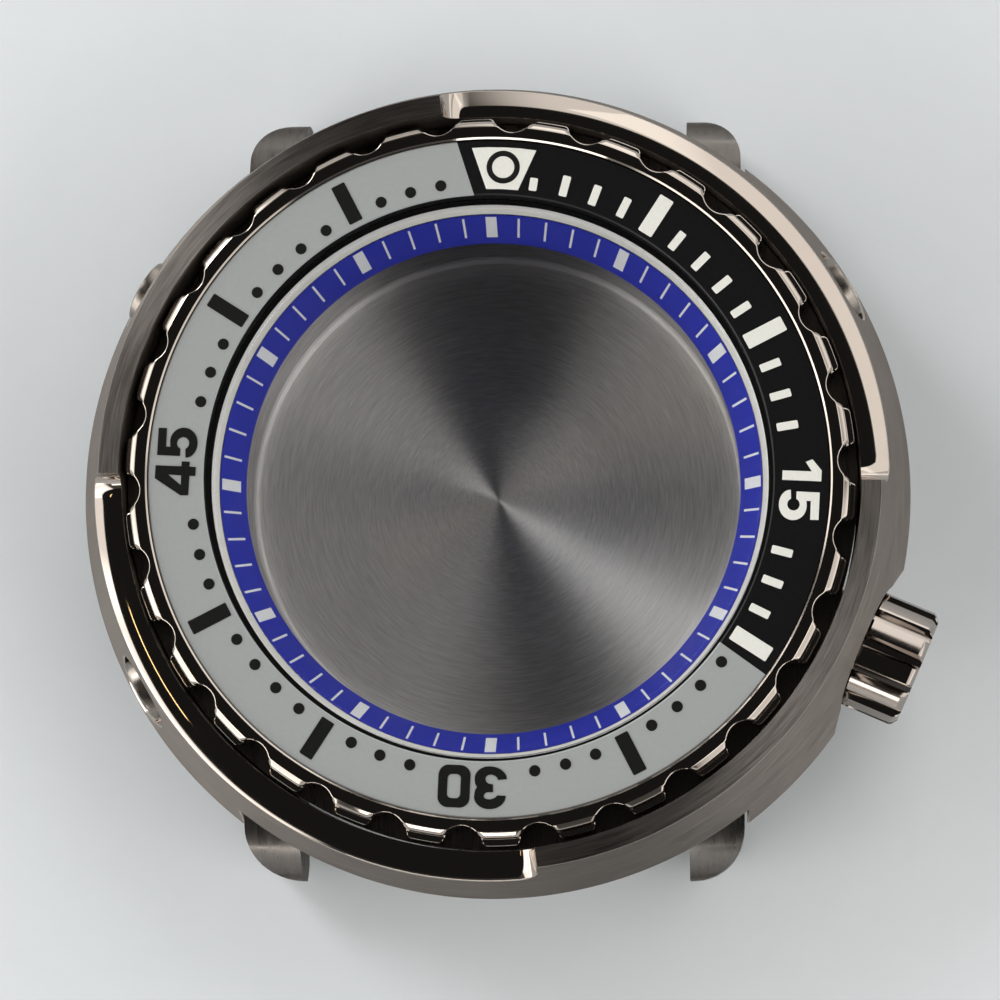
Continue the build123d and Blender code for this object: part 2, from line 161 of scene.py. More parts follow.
guard_bore, guard_skirt, guard_top = 20.6, 23.648, 21.7
guard_foot_z, guard_top_z = 4.87, 12.8
low_inner_z, low_outer_z = 11.1, 10.65
sweep_r, low_edge_r, high_edge_r, guard_ease, low_fall, low_rise = 1.25, 0.16, 0.06, 0.02, 24.0, 0.03
high_runs, high_half = (131.8, 311.8), 41.0
top_shares, side_shares, edge_steps = (0.0, 0.12, 0.25, 0.4, 0.55, 0.7, 0.85), (0.25, 0.5, 0.75, 1.0), 8
high_steps, low_steps, sweep_steps = 84, 96, 10


def cone_r(z):
    """Radius of the guard ring's cone at a height."""
    return guard_skirt + (guard_top - guard_skirt) * (z - guard_foot_z) / (guard_top_z - guard_foot_z)


def on_clock(r, z, turn):
    """A point from its radius, its height and its angle clockwise from twelve."""
    angle = math.radians(turn)
    return (r * math.sin(angle), r * math.cos(angle), z)


def guard_section(lift, edge_r, high):
    """Outline of the guard ring at one place: up the bore, over the top, down the cone, back under."""
    if high:
        inner_z, outer_z, fall = guard_top_z - lift, guard_top_z - lift, 0.0
    else:
        inner_z, outer_z, fall = low_inner_z + lift, low_outer_z + lift, math.radians(low_fall)
    corner = Vector((cone_r(outer_z), outer_z))
    inward = Vector((-math.cos(fall), math.sin(fall)))
    down = (Vector((cone_r(guard_foot_z), guard_foot_z)) - corner).normalized()
    half = inward.angle(down) / 2
    reach = edge_r / math.tan(half)
    middle = corner + (inward + down).normalized() * edge_r / math.sin(half)
    start, end = corner + inward * reach, corner + down * reach
    sweep = (start - middle).angle(end - middle)
    outline = [(guard_bore + guard_ease, guard_foot_z), (guard_bore, guard_foot_z + guard_ease)]
    outline.append((guard_bore, inner_z - guard_ease))
    shoulder = Vector((guard_bore + guard_ease, inner_z))
    crown_at = shoulder.lerp(start, 0.5)
    if fall:
        crown_at = Vector((crown_at.x, shoulder.y - low_rise * (crown_at.x - shoulder.x)))
    for share in top_shares:
        outline.append(tuple(shoulder.lerp(crown_at, share).lerp(crown_at.lerp(start, share), share)))
    for step in range(edge_steps + 1):
        share = sweep * step / edge_steps
        arm = (start - middle) * math.sin(sweep - share) / math.sin(sweep)
        arm += (end - middle) * math.sin(share) / math.sin(sweep)
        outline.append(tuple(middle + arm))
    for share in side_shares:
        z = end.y + (guard_foot_z + guard_ease - end.y) * share
        outline.append((cone_r(z), z))
    outline.append((cone_r(guard_foot_z) - guard_ease, guard_foot_z))
    return outline


def guard_columns():
    """Every place round the guard ring, with its outline there."""
    columns = []
    for centre in high_runs:
        left, right = centre - high_half, centre + high_half
        ease_turn = math.degrees(guard_ease / guard_top)
        columns.append((left, guard_section(guard_ease, high_edge_r, True)))
        for step in range(high_steps + 1):
            turn = left + ease_turn + (right - left - 2 * ease_turn) * step / high_steps
            columns.append((turn, guard_section(0.0, high_edge_r, True)))
        columns.append((right, guard_section(guard_ease, high_edge_r, True)))
        sweeps = []
        for step in range(sweep_steps + 1):
            slope = math.radians(90 - 90 / sweep_steps * step)
            away = math.degrees(sweep_r * (1 - math.sin(slope)) / cone_r(low_outer_z))
            lift = sweep_r * (1 - math.cos(slope))
            edge = low_edge_r + (high_edge_r - low_edge_r) * lift / sweep_r
            sweeps.append((away, guard_section(lift, edge, False)))
        next_left = left + 180
        columns += [(right + away, outline) for away, outline in sweeps]
        start, end = right + sweeps[-1][0], next_left - sweeps[-1][0]
        for step in range(1, low_steps):
            columns.append((start + (end - start) * step / low_steps, guard_section(0.0, low_edge_r, False)))
        columns += [(next_left - away, outline) for away, outline in reversed(sweeps)]
    return columns


def swept(columns, closed=True, whole=True):
    """Points and faces of a ring, or of a part of one, from its outlines at each place, in millimetres."""
    count = len(columns[0][1])
    points = [on_clock(r, z, turn) for turn, outline in columns for r, z in outline]
    faces = []
    for here in range(len(columns) if whole else len(columns) - 1):
        there = (here + 1) % len(columns)
        for row in range(count if closed else count - 1):
            after = (row + 1) % count
            faces.append((here * count + row, here * count + after, there * count + after,
                          there * count + row))
    return points, faces


def banded(levels, count):
    """Faces of a tube from its levels, each with the same count of points round it."""
    faces = []
    for low in range(0, (levels - 1) * count, count):
        high = low + count
        for index in range(count):
            after = (index + 1) % count
            faces.append((low + index, low + after, high + after, high + index))
    return faces


def shell(name, points, faces, smallest=0.0005):
    """A closed mesh from points in millimetres, merged and with its faces turned outwards."""
    mesh = bpy.data.meshes.new(name)
    mesh.from_pydata([Vector(point) * mm for point in points], [], faces)
    work = bmesh.new()
    work.from_mesh(mesh)
    bmesh.ops.remove_doubles(work, verts=work.verts, dist=smallest * mm)
    bmesh.ops.dissolve_degenerate(work, edges=work.edges, dist=smallest * mm)
    bmesh.ops.recalc_face_normals(work, faces=work.faces)
    work.to_mesh(mesh)
    work.free()
    return mesh


def cutter(turn, rings):
    """A tool along a spoke of the clock, from rings of points: sideways, height and way out."""
    out = Vector(on_clock(1.0, 0.0, turn))
    side = Vector((out.y, -out.x, 0.0))
    points = [out * way + side * across + Vector((0, 0, z)) for ring in rings for across, z, way in ring]
    count = len(rings[0])
    ends = [tuple(range(count)), tuple(range((len(rings) - 1) * count, len(rings) * count))]
    return placed("tool", shell("tool", points, ends + banded(len(rings), count)))


def circle(radius, z, count=64):
    """Sideways and height places round a circle."""
    angles = [2 * math.pi * index / count for index in range(count)]
    return [(radius * math.sin(angle), z + radius * math.cos(angle)) for angle in angles]


def cone_way(across, z):
    """How far out the cone's surface is, at a place beside a spoke."""
    return math.sqrt(cone_r(z) ** 2 - across ** 2)


def pocket(turn, shape, wider, floor, face, lip=0.1):
    """A pocket or a way through the cone, with its mouth eased where it meets the surface."""
    deep = [(across, z, floor) for across, z in shape]
    neck = [(across, z, max(face(across, z) - lip, floor + 0.01)) for across, z in shape]
    mouth = [(across, z, max(face(across, z) + lip, floor + 0.02)) for across, z in wider]
    past = [(across, z, 30.0) for across, z in wider]
    return cutter(turn, [deep, neck, mouth, past])


def strap_shape(half, top, count=24):
    """Sideways and height places round the cut above the lugs."""
    across = [half * (2 * index / count - 1) for index in range(count + 1)]
    shape = [(place, top) for place in across]
    shape += [(half, top + (3.0 - top) * (index + 1) / 6) for index in range(6)]
    shape += [(place, 3.0) for place in reversed(across[:-1])]
    shape += [(-half, 3.0 + (top - 3.0) * (index + 1) / 6) for index in range(5)]
    return shape


crown_turn, crown_z = 113.3, 5.5
dish_way, dish_rise, dish_w, dish_clear, arch_r, ease_out = 22.85, 0.6, 3.0, 6.0, 3.85, 0.2
strap_turns, strap_half, strap_top, way_in = (0.0, 180.0), 14.25, 6.9, 10.0
screw_turns, screw_z, screw_seat, screw_pocket_r = (60.0, 240.0, 300.0), 7.4, 22.3, 2.2
screw_hole_r, screw_hole_way = 1.1, (19.0, 23.0)


def arch_face(across, z):
    """How far out the surface is round the crown's arch, with the dish cut into the cone."""
    past = max(0.0, math.hypot(across, z - crown_z) - arch_r)
    return min(dish_way + past * dish_rise / dish_w, cone_way(across, z))


guard_tools = []
for turn in strap_turns:
    guard_tools.append(pocket(turn, strap_shape(strap_half, strap_top),
                              strap_shape(strap_half + ease_out, strap_top + ease_out), way_in, cone_way))
dish_levels = [(arch_r - 0.5, 0.0), (arch_r, 0.0), (arch_r + dish_w, dish_rise), (arch_r + dish_w, dish_clear)]
guard_tools.append(cutter(crown_turn, [[(across, z, dish_way + up) for across, z in circle(r, crown_z, 96)]
                                       for r, up in dish_levels]))
guard_tools.append(pocket(crown_turn, circle(arch_r, crown_z), circle(arch_r + ease_out, crown_z), way_in,
                          arch_face))
for turn in screw_turns:
    guard_tools.append(pocket(turn, circle(screw_pocket_r, screw_z, 48),
                              circle(screw_pocket_r + ease_out, screw_z, 48), screw_seat, cone_way))
    hole = circle(screw_hole_r, screw_z, 24)
    guard_tools.append(cutter(turn, [[(across, z, way) for across, z in hole] for way in screw_hole_way]))
guard_holder = placed("guard", shell("guard", *swept(guard_columns())))
for tool in guard_tools:
    cut = guard_holder.modifiers.new("cut", "BOOLEAN")
    cut.operation = "DIFFERENCE"
    cut.solver = "EXACT"
    cut.object = tool
guard_mesh = evaluated(guard_holder, "guard_ring_dressed")
for tool in guard_tools:
    bpy.data.objects.remove(tool)


def ring_grain(along, across):
    """Noise drawn out round the case axis, as a turned or ring-brushed surface has it."""
    def grain(tree):
        place = add(tree, "ShaderNodeTexCoord").outputs["Object"]
        part = add(tree, "ShaderNodeSeparateXYZ", {0: place})
        flat = add(tree, "ShaderNodeCombineXYZ", {0: part.outputs[0], 1: part.outputs[1]}).outputs[0]
        radius = add(tree, "ShaderNodeVectorMath", {0: flat}, operation="LENGTH").outputs["Value"]
        unit = add(tree, "ShaderNodeVectorMath", {0: flat}, operation="NORMALIZE").outputs[0]
        around = add(tree, "ShaderNodeVectorMath", {0: unit, 3: along}, operation="SCALE").outputs[0]
        rise = add(tree, "ShaderNodeMath", {0: radius, 1: across}, operation="MULTIPLY").outputs[0]
        lift = add(tree, "ShaderNodeCombineXYZ", {2: rise}).outputs[0]
        spot = add(tree, "ShaderNodeVectorMath", {0: around, 1: lift}, operation="ADD").outputs[0]
        height = add(tree, "ShaderNodeMath", {0: part.outputs[2], 1: across}, operation="MULTIPLY").outputs[0]
        settings = {"Vector": spot, "W": height, "Scale": 1.0, "Detail": 3.0, "Roughness": 0.6}
        return add(tree, "ShaderNodeTexNoise", settings, noise_dimensions="4D").outputs[0]
    return grain


def brushed_round(made):
    """Turns a finish's gloss round the case axis, so that it spreads across the fine lines."""
    tree = made.node_tree
    swirl = add(tree, "ShaderNodeTangent", direction_type="RADIAL", axis="Z")
    tree.links.new(swirl.outputs[0], tree.nodes["Principled BSDF"].inputs["Tangent"])


guard_brushed = finish(
    "brushed runs of the guard ring", (0.23, 0.209, 0.192), 1.0, 0.44, ring_grain(9.0, 9000.0),
    (0.15, 0.136, 0.125), (0.275, 0.25, 0.23), gloss=(0.38, 0.50), full=True, Anisotropic=0.9,
    Anisotropic_Rotation=0.25, Specular_Tint=(0.5, 0.49, 0.48, 1.0))
brushed_round(guard_brushed)
guard_bright = finish(
    "polished runs of the guard ring", (0.40, 0.355, 0.315), 1.0, 0.05, plain_grain(260.0, detail=5.0),
    (0.38, 0.336, 0.297), (0.42, 0.374, 0.333), gloss=(0.03, 0.07))
cone_rise = 0.239
for face in guard_mesh.polygons:
    r = math.hypot(face.center.x, face.center.y) / mm
    z = face.center.z / mm
    on_cone = abs(cone_r(z) - r) < 0.03 and abs(face.normal.z - cone_rise) < 0.05
    on_high = z > guard_top_z - 0.02
    below = face.normal.z < -0.7 or r < guard_bore + 0.02
    face.material_index = 0 if on_cone or on_high or below else 1
piece("guard_ring_dressed", guard_mesh, "case", "guard_steel", "guard_ring",
      mats=[guard_brushed, guard_bright])


# Guard ring screws: three socket head screws, turned with a chamfered head and a broached
# hexagon, that sit in the pockets and tie the guard ring to the case.

def placed_round(name, shape, turns, mat, merge=0.0):
    """One shape set at several angles round the case axis by Geometry Nodes, as one plain mesh."""
    tree = bpy.data.node_groups.new(name, "GeometryNodeTree")
    tree.interface.new_socket("Geometry", in_out="INPUT", socket_type="NodeSocketGeometry")
    shape_socket = tree.interface.new_socket("Shape", in_out="INPUT", socket_type="NodeSocketObject")
    merge_socket = tree.interface.new_socket("Merge distance", in_out="INPUT", socket_type="NodeSocketFloat")
    finish_socket = tree.interface.new_socket("Finish", in_out="INPUT", socket_type="NodeSocketMaterial")
    tree.interface.new_socket("Geometry", in_out="OUTPUT", socket_type="NodeSocketGeometry")
    given = add(tree, "NodeGroupInput").outputs
    turn = add(tree, "GeometryNodeInputNamedAttribute", {"Name": "turn"}).outputs[0]
    back = add(tree, "ShaderNodeMath", {0: turn, 1: -math.pi / 180}, operation="MULTIPLY").outputs[0]
    swing = add(tree, "ShaderNodeCombineXYZ", {2: back}).outputs[0]
    info = add(tree, "GeometryNodeObjectInfo", {"Object": given["Shape"]}).outputs["Geometry"]
    copies = add(tree, "GeometryNodeInstanceOnPoints", {"Points": given["Geometry"], "Instance": info,
                                                        "Rotation": swing}).outputs[0]
    real = add(tree, "GeometryNodeRealizeInstances", {0: copies}).outputs[0]
    joined = add(tree, "GeometryNodeMergeByDistance", {0: real, "Distance": given["Merge distance"]})
    dressed = add(tree, "GeometryNodeSetMaterial", {0: joined.outputs[0], "Material": given["Finish"]})
    add(tree, "NodeGroupOutput", {0: dressed.outputs[0]})
    places = bpy.data.meshes.new(name)
    places.from_pydata([(0.0, 0.0, 0.0)] * len(turns), [], [])
    places.attributes.new("turn", "FLOAT", "POINT").data.foreach_set("value", list(turns))
    holder = placed(name, places)
    pattern = placed(name + "_shape", shape)
    maker = holder.modifiers.new("set", "NODES")
    maker.node_group = tree
    maker[shape_socket.identifier] = pattern
    maker[merge_socket.identifier] = merge * mm
    maker[finish_socket.identifier] = mat
    mesh = evaluated(holder, name)
    bpy.data.objects.remove(pattern)
    return mesh


def along_spoke(turn, z):
    """The move that lays a shape made on the axis out along a spoke of the clock."""
    out = Vector(on_clock(1.0, 0.0, turn))
    side = Vector((-out.y, out.x, 0.0))
    turn_to = Matrix((side, Vector((0, 0, 1)), out)).transposed().to_4x4()
    return Matrix.Translation((0, 0, z * mm)) @ turn_to


screw_head_r, screw_top, screw_tip, screw_shank_r = 1.85, 23.1, 18.3, 1.0
socket_half, socket_deep, socket_tip, socket_ease = 0.75, 0.6, 0.12, 0.1
head_flat_in, head_flat_out, head_ease, tip_ease = 1.45, 0.22, 0.25, 0.3
screw_finish = finish(
    "dull screw steel", (0.25, 0.225, 0.20), 1.0, 0.3, plain_grain(1500.0), (0.21, 0.188, 0.168),
    (0.29, 0.26, 0.232), gloss=(0.24, 0.38))
screw_columns, screw_places = [], 48
for index in range(screw_places):
    turn = 360.0 * index / screw_places
    flat = socket_half / math.cos(math.radians((turn + 30) % 60 - 30))
    screw_columns.append((turn, [
        (0.0, screw_top - socket_deep - socket_tip), (flat * 0.6, screw_top - socket_deep),
        (flat, screw_top - socket_deep), (flat, screw_top - 0.12), (flat + socket_ease, screw_top - 0.02),
        (head_flat_in, screw_top), (screw_head_r - head_flat_out, screw_top),
        (screw_head_r - 0.05, screw_top - 0.08), (screw_head_r, screw_top - head_ease),
        (screw_head_r, screw_seat), (screw_shank_r, screw_seat), (screw_shank_r, screw_tip + tip_ease),
        (screw_shank_r - tip_ease, screw_tip), (0.0, screw_tip)]))
screw_shape = shell("screw_shape", *swept(screw_columns, closed=False))
screw_shape.transform(along_spoke(0.0, screw_z))
screw_mesh = placed_round("guard_screws", screw_shape, screw_turns, screw_finish)
piece("guard_screws", screw_mesh, "case", "screw_steel", "guard_screw_2", "guard_screw_8", "guard_screw_10")


# Turning bezel: a steel ring with thirty round grip notches milled through its edge, a
# chamfer that runs over teeth and notches alike, a recess for the insert on top and sixty
# saw-tooth slots underneath for the click spring. Polished all over and coated dark.

notch_count, first_notch, click_pitch = 30, 3.95, 6.0
notch_r, notch_way = 1.15, 20.46
slot_in, slot_out, slot_deep, slot_share = 18.1, 19.05, 0.3, 0.7
bezel_foot_z, seal_seat_z, insert_seat_z, bezel_top_z = 9.8, 11.05, 12.05, 13.3
bezel_bore, insert_seat_r, recess_r, bezel_ease, recess_ease = 17.3, 17.55, 18.9, 0.1, 0.09
# Each row of the grip edge: tooth's radius, what the notch gains, its corners' radius, depth below the top.
grip_rows = [
    (19.56, 0.06, 0.30, 0.0), (19.61, 0.03, 0.33, 0.015), (19.64, 0.01, 0.34, 0.035), (19.87, 0.0, 0.39, 0.215),
    (19.91, 0.0, 0.40, 0.255), (19.93, 0.0, 0.40, 0.30), (19.933, 0.0, 0.40, 0.34), (19.965, 0.0, 0.40, 1.42),
    (19.975, 0.0, 0.40, 1.455), (20.01, 0.0, 0.38, 1.475), (20.05, 0.0, 0.36, 1.48), (20.27, 0.0, 0.30, 1.50),
    (20.32, 0.0, 0.28, 1.515), (20.345, 0.0, 0.28, 1.55), (20.35, 0.0, 0.28, 1.60), (20.35, 0.0, 0.28, 3.4),
    (20.25, 0.1, 0.2, 3.5),
]


def grip_r(turn, tooth_r, hollow_r, round_r):
    """Radius of the bezel's scalloped edge at an angle from a notch's middle."""
    turn = abs(math.radians(turn))
    reach = tooth_r - round_r
    bend = (reach ** 2 + notch_way ** 2 - (hollow_r + round_r) ** 2) / (2 * reach * notch_way)
    corner = math.acos(bend)
    if turn >= corner:
        return tooth_r
    centre = Vector((reach * math.sin(corner), reach * math.cos(corner)))
    hollow = Vector((0.0, notch_way))
    touch = hollow + (centre - hollow) * hollow_r / (hollow_r + round_r)
    if turn <= math.atan2(touch.x, touch.y):
        return notch_way * math.cos(turn) - math.sqrt(hollow_r ** 2 - (notch_way * math.sin(turn)) ** 2)
    away = turn - corner
    return reach * math.cos(away) + math.sqrt(round_r ** 2 - (reach * math.sin(away)) ** 2)


def bezel_section(turn, deep):
    """Outline of the bezel at one place: up the bore, over the top, down the grip edge, back under."""
    outline = [
        (bezel_bore + bezel_ease, bezel_foot_z), (bezel_bore, bezel_foot_z + bezel_ease),
        (bezel_bore, seal_seat_z), (insert_seat_r, seal_seat_z), (insert_seat_r, insert_seat_z),
        (recess_r, insert_seat_z), (recess_r, bezel_top_z - recess_ease),
        (recess_r + recess_ease, bezel_top_z),
    ]
    outline += [(grip_r(turn, tooth_r, notch_r + gain, round_r), bezel_top_z - below)
                for tooth_r, gain, round_r, below in grip_rows]
    slot_z = bezel_foot_z + deep
    return outline + [(slot_out, bezel_foot_z), (slot_out, slot_z), (slot_in, slot_z), (slot_in, bezel_foot_z)]


bezel_half = 180.0 / notch_count
half_turns = [0.0, 0.5, 1.0, 1.5, 1.9, 2.2, 2.45, 2.6, 2.72, 2.82, 2.92, 3.02, 3.12, 3.2, 3.28, 3.36, 3.44,
              3.52, 3.62, 3.74, 3.9, 4.1, 4.6, 5.3]
bezel_turns = sorted({-turn for turn in half_turns} | set(half_turns) | {-bezel_half, bezel_half})
click_starts = [index * click_pitch - first_notch for index in (-1, 0, 1)]
click_ends = [start + slot_share * click_pitch for start in click_starts]
bezel_columns = []
click_turns = {place for place in click_starts + click_ends if abs(place) < bezel_half}
for turn in sorted(set(bezel_turns) | click_turns):
    since = (turn + first_notch) % click_pitch
    if min(since, click_pitch - since) < 1e-6:
        bezel_columns.append((turn, bezel_section(turn, 0.0)))
        since = 0.0
    deep = max(0.0, 1 - since / (slot_share * click_pitch)) * slot_deep
    bezel_columns.append((turn, bezel_section(turn, deep)))
bezel_shape = shell("bezel_shape", *swept(bezel_columns, whole=False))
bezel_finish = finish(
    "polished dark steel of the bezel", (0.40, 0.355, 0.315), 1.0, 0.06, ring_grain(14.0, 5000.0),
    (0.38, 0.336, 0.297), (0.42, 0.374, 0.333), gloss=(0.04, 0.08))
bezel_places = [first_notch + 360.0 / notch_count * index for index in range(notch_count)]
bezel_mesh = placed_round("bezel_dressed", bezel_shape, bezel_places, bezel_finish, merge=0.001)
piece("bezel_dressed", bezel_mesh, "bezel", "bezel_steel", "bezel_ring")


# Bezel insert: a flat metal ring glued into the bezel, anodised grey with a black first
# third, and printed with a minute scale. The marks and numbers are thick print, and the
# pip at zero is a pale wedge with a dark ring.

insert_in, insert_out, insert_foot_z, insert_top_z, insert_ease = 15.75, 18.87, 12.05, 13.15, 0.08
insert_turn = 2.85
black_from, black_to = (-5.62, -8.16), 123.1
insert_rows = [(insert_in, insert_foot_z), (insert_in, insert_top_z - insert_ease),
               (insert_in + insert_ease, insert_top_z), (insert_out - insert_ease, insert_top_z),
               (insert_out, insert_top_z - insert_ease), (insert_out, insert_foot_z)]


def insert_places(grey_steps=180, black_steps=90, grey_fade=5, black_fade=4):
    """Places round the insert, each with its share of the slant at the start of the black part."""
    places = []
    for index in range(grey_steps):
        turn = black_to + (360.0 + black_from[0] - black_to) * index / grey_steps
        places.append((turn, max(0.0, 1 - (grey_steps - index) / grey_fade)))
    places.append((360.0 + black_from[0], 1.0))
    for index in range(1, black_steps):
        turn = 360.0 + black_from[0] + (black_to - black_from[0]) * index / black_steps
        places.append((turn, max(0.0, 1 - index / black_fade)))
    return places


def across_insert(r):
    """The share of the way from the insert's inner edge to its outer one."""
    return (r - insert_in) / (insert_out - insert_in)


insert_points = []
for turn, slant in insert_places():
    for r, z in insert_rows:
        lean = slant * across_insert(r) * (black_from[1] - black_from[0])
        insert_points.append(on_clock(r, z, turn + insert_turn + lean))
insert_faces = swept([(turn, insert_rows) for turn, slant in insert_places()])[1]
insert_mesh = shell("insert_plate", insert_points, insert_faces)
insert_grey = finish(
    "grey anodised metal", (0.36, 0.378, 0.378), 0.0, 0.36, plain_grain(3500.0, detail=2.0),
    (0.34, 0.357, 0.357), (0.38, 0.399, 0.399), depth=0.002, Specular_IOR_Level=0.35)
insert_black = finish(
    "black anodised metal", (0.006, 0.006, 0.0065), 0.0, 0.34, plain_grain(3500.0, detail=2.0),
    (0.004, 0.004, 0.0045), (0.010, 0.010, 0.0105), depth=0.002, Specular_IOR_Level=0.22)
# Painted shade: the insert's inner wall is painted matte black in both sectors, standing for the shade that
# falls on it beside the crystal.
insert_wall_painted_shade = finish(
    "painted shade on the inner wall of the insert", (0.008, 0.008, 0.008), 0.0, 0.7, plain_grain(3500.0, detail=2.0),
    (0.005, 0.005, 0.005), (0.012, 0.012, 0.012), Specular_IOR_Level=0.05)
# Faces of the inner wall take the painted shade; the rest take the grey or the black anodising.
for face in insert_mesh.polygons:
    share = across_insert(math.hypot(face.center.x, face.center.y) / mm)
    start = black_from[0] + (black_from[1] - black_from[0]) * share
    turn = math.degrees(math.atan2(face.center.x, face.center.y)) - insert_turn
    turn = (turn + 180.0) % 360.0 - 180.0
    face.material_index = 2 if share < 0.01 else 1 if start <= turn <= black_to else 0
piece("insert_plate", insert_mesh, "bezel", "insert_metal", "bezel_insert",
      mats=[insert_grey, insert_black, insert_wall_painted_shade])

print_z, print_t = insert_top_z, 0.03


def print_block(name, outline, thickness=print_t, soft=0.02, sunk=0.005):
    """A thin raised print mark from a flat outline in millimetres, with its top edge eased."""
    count = len(outline)
    middle = Vector((sum(x for x, y in outline) / count, sum(y for x, y in outline) / count))
    arms = [Vector(place) - middle for place in outline]
    inset = [middle + arm * (1 - soft / arm.length) for arm in arms]
    levels = [(outline, -sunk), (outline, thickness * 0.6), (inset, thickness)]
    points = [(x, y, print_z + up) for places, up in levels for x, y in places]
    ends = [tuple(range(count))[::-1], tuple(range(2 * count, 3 * count))]
    return shell(name, points, ends + banded(3, count))


def bar(name, inner, outer, width, corner=0.05):
    """A radial bar of print with clipped corners."""
    half = width / 2
    return print_block(name, [(-half, inner + corner), (-half + corner, inner), (half - corner, inner),
                              (half, inner + corner), (half, outer - corner), (half - corner, outer),
                              (-half + corner, outer), (-half, outer - corner)])


def minutes(*values):
    """Angles of minutes on the insert's scale."""
    return [insert_turn + 6.0 * value for value in values]


pale_print = finish(
    "pale thick print", (0.80, 0.805, 0.75), 0.0, 0.55, plain_grain(5000.0, detail=4.0), (0.74, 0.745, 0.69),
    (0.86, 0.865, 0.81), depth=0.004)
dark_print = finish(
    "black thick print", (0.006, 0.006, 0.006), 0.0, 0.4, plain_grain(5000.0, detail=4.0),
    (0.004, 0.004, 0.004), (0.011, 0.011, 0.011), depth=0.003, Specular_IOR_Level=0.3)


def printed(name, shape, turns, mat):
    """Sets one mark at several angles of the insert, as a piece of its own."""
    piece(name, placed_round(name, shape, turns, mat), "bezel", "insert_metal")


printed("short_tick", bar("short_tick", 16.14, 16.87, 0.44), minutes(1), pale_print)
printed("pale_ticks", bar("pale_tick", 16.16, 17.34, 0.45),
        minutes(2, 3, 4, 6, 7, 8, 9, 11, 12, 13, 17, 18, 19), pale_print)
printed("pale_bars", bar("pale_bar", 16.05, 18.40, 0.86), minutes(5, 10, 20), pale_print)
printed("dark_bars", bar("dark_bar", 16.05, 18.40, 0.80), minutes(25, 35, 40, 50, 55), dark_print)
dot_r, dot_way = 0.315, 16.49
dotted = [value for value in range(21, 59) if value % 5 and value not in (29, 31, 44, 46)]
printed("dark_dots", print_block("dark_dot", circle(dot_r, dot_way, 20)), minutes(*dotted), dark_print)
pip = [(-1.80, 18.34), (-0.90, 18.42), (0.0, 18.44), (0.90, 18.42), (1.80, 18.34), (0.885, 16.05), (0.0, 16.08),
       (-0.885, 16.05)]
printed("zero_pip", print_block("zero_pip", pip), minutes(0), pale_print)


def turned(outline, count, closed=False):
    """Points and faces of a shape turned on the axis: a ring, or a body whose outline ends on the axis."""
    return swept([(360.0 * index / count, outline) for index in range(count)], closed=closed)


def print_ring(name, way, inner, outer, low, high, count=48):
    """A thin raised ring round a point on the spoke at twelve."""
    section = [(inner, low), (inner, high - 0.008), (inner + 0.02, high), (outer - 0.02, high),
               (outer, high - 0.008), (outer, low)]
    points, faces = turned(section, count, closed=True)
    return shell(name, [(x, y + way, z) for x, y, z in points], faces)


pip_ring = print_ring("pip_ring", 17.32, 0.62, 0.93, print_z, print_z + 0.045)
printed("pip_ring", pip_ring, minutes(0), dark_print)


def bow(x, y, wide, high, start, end, count=10):
    """Points along a part of an ellipse, from one angle to another."""
    angles = [math.radians(start + (end - start) * index / count) for index in range(count + 1)]
    return [(x + wide * math.cos(angle), y + high * math.sin(angle)) for angle in angles]


def rounded(x, y, wide, high, r):
    """Points round a box with round corners, from its left and lower edges."""
    corners = [(x + wide - r, y + r, -90), (x + wide - r, y + high - r, 0), (x + r, y + high - r, 90),
               (x + r, y + r, 180)]
    return [place for across, up, start in corners for place in bow(across, up, r, r, start, start + 90, 8)]


figure_1 = [[(0.0, 1.61), (0.16, 1.25), (0.67, 1.60), (0.69, 0.0), (1.21, 0.0), (1.20, 2.14), (0.60, 2.14)]]
figure_3 = [[(0.02, 1.57)] + bow(0.92, 1.62, 0.90, 0.71, 176, 92) + bow(0.94, 1.68, 0.80, 0.65, 88, 0)
            + [(1.73, 1.50), (1.69, 1.30), (1.60, 1.165), (1.70, 1.0), (1.74, 0.82)]
            + bow(0.94, 0.66, 0.81, 0.66, 0, -88) + bow(0.92, 0.66, 0.92, 0.66, -92, -180)
            + [(0.47, 0.72), (0.52, 0.60), (0.63, 0.51), (0.83, 0.44), (1.02, 0.47), (1.14, 0.57), (1.17, 0.69),
               (1.12, 0.84), (0.99, 0.94), (0.74, 0.98), (0.72, 1.40), (1.02, 1.41), (1.16, 1.48), (1.22, 1.60),
               (1.19, 1.72), (1.07, 1.79), (0.85, 1.80), (0.66, 1.73), (0.54, 1.65), (0.49, 1.57)]]
figure_4 = [[(0.89, 2.24), (1.61, 2.24), (1.62, 0.80), (1.89, 0.80), (1.89, 0.36), (1.62, 0.36), (1.61, 0.0),
             (1.11, 0.0), (1.10, 0.33), (0.02, 0.33), (0.0, 0.77)],
            [(1.13, 1.52), (1.11, 0.785), (0.57, 0.775)]]
figure_5 = [[(0.08, 2.21), (1.60, 2.21), (1.61, 1.75), (0.57, 1.74), (0.57, 1.50)]
            + bow(0.88, 0.79, 0.79, 0.74, 100, 0) + bow(0.84, 0.78, 0.83, 0.78, -4, -90)
            + bow(0.81, 0.62, 0.81, 0.62, -94, -170) + [(0.0, 0.62), (0.46, 0.65)]
            + bow(0.80, 0.80, 0.34, 0.34, 206, 516, 24) + [(0.08, 0.94)]]
figure_0 = [rounded(0.0, 0.0, 1.75, 2.32, 0.55), rounded(0.52, 0.50, 0.73, 1.32, 0.25)]


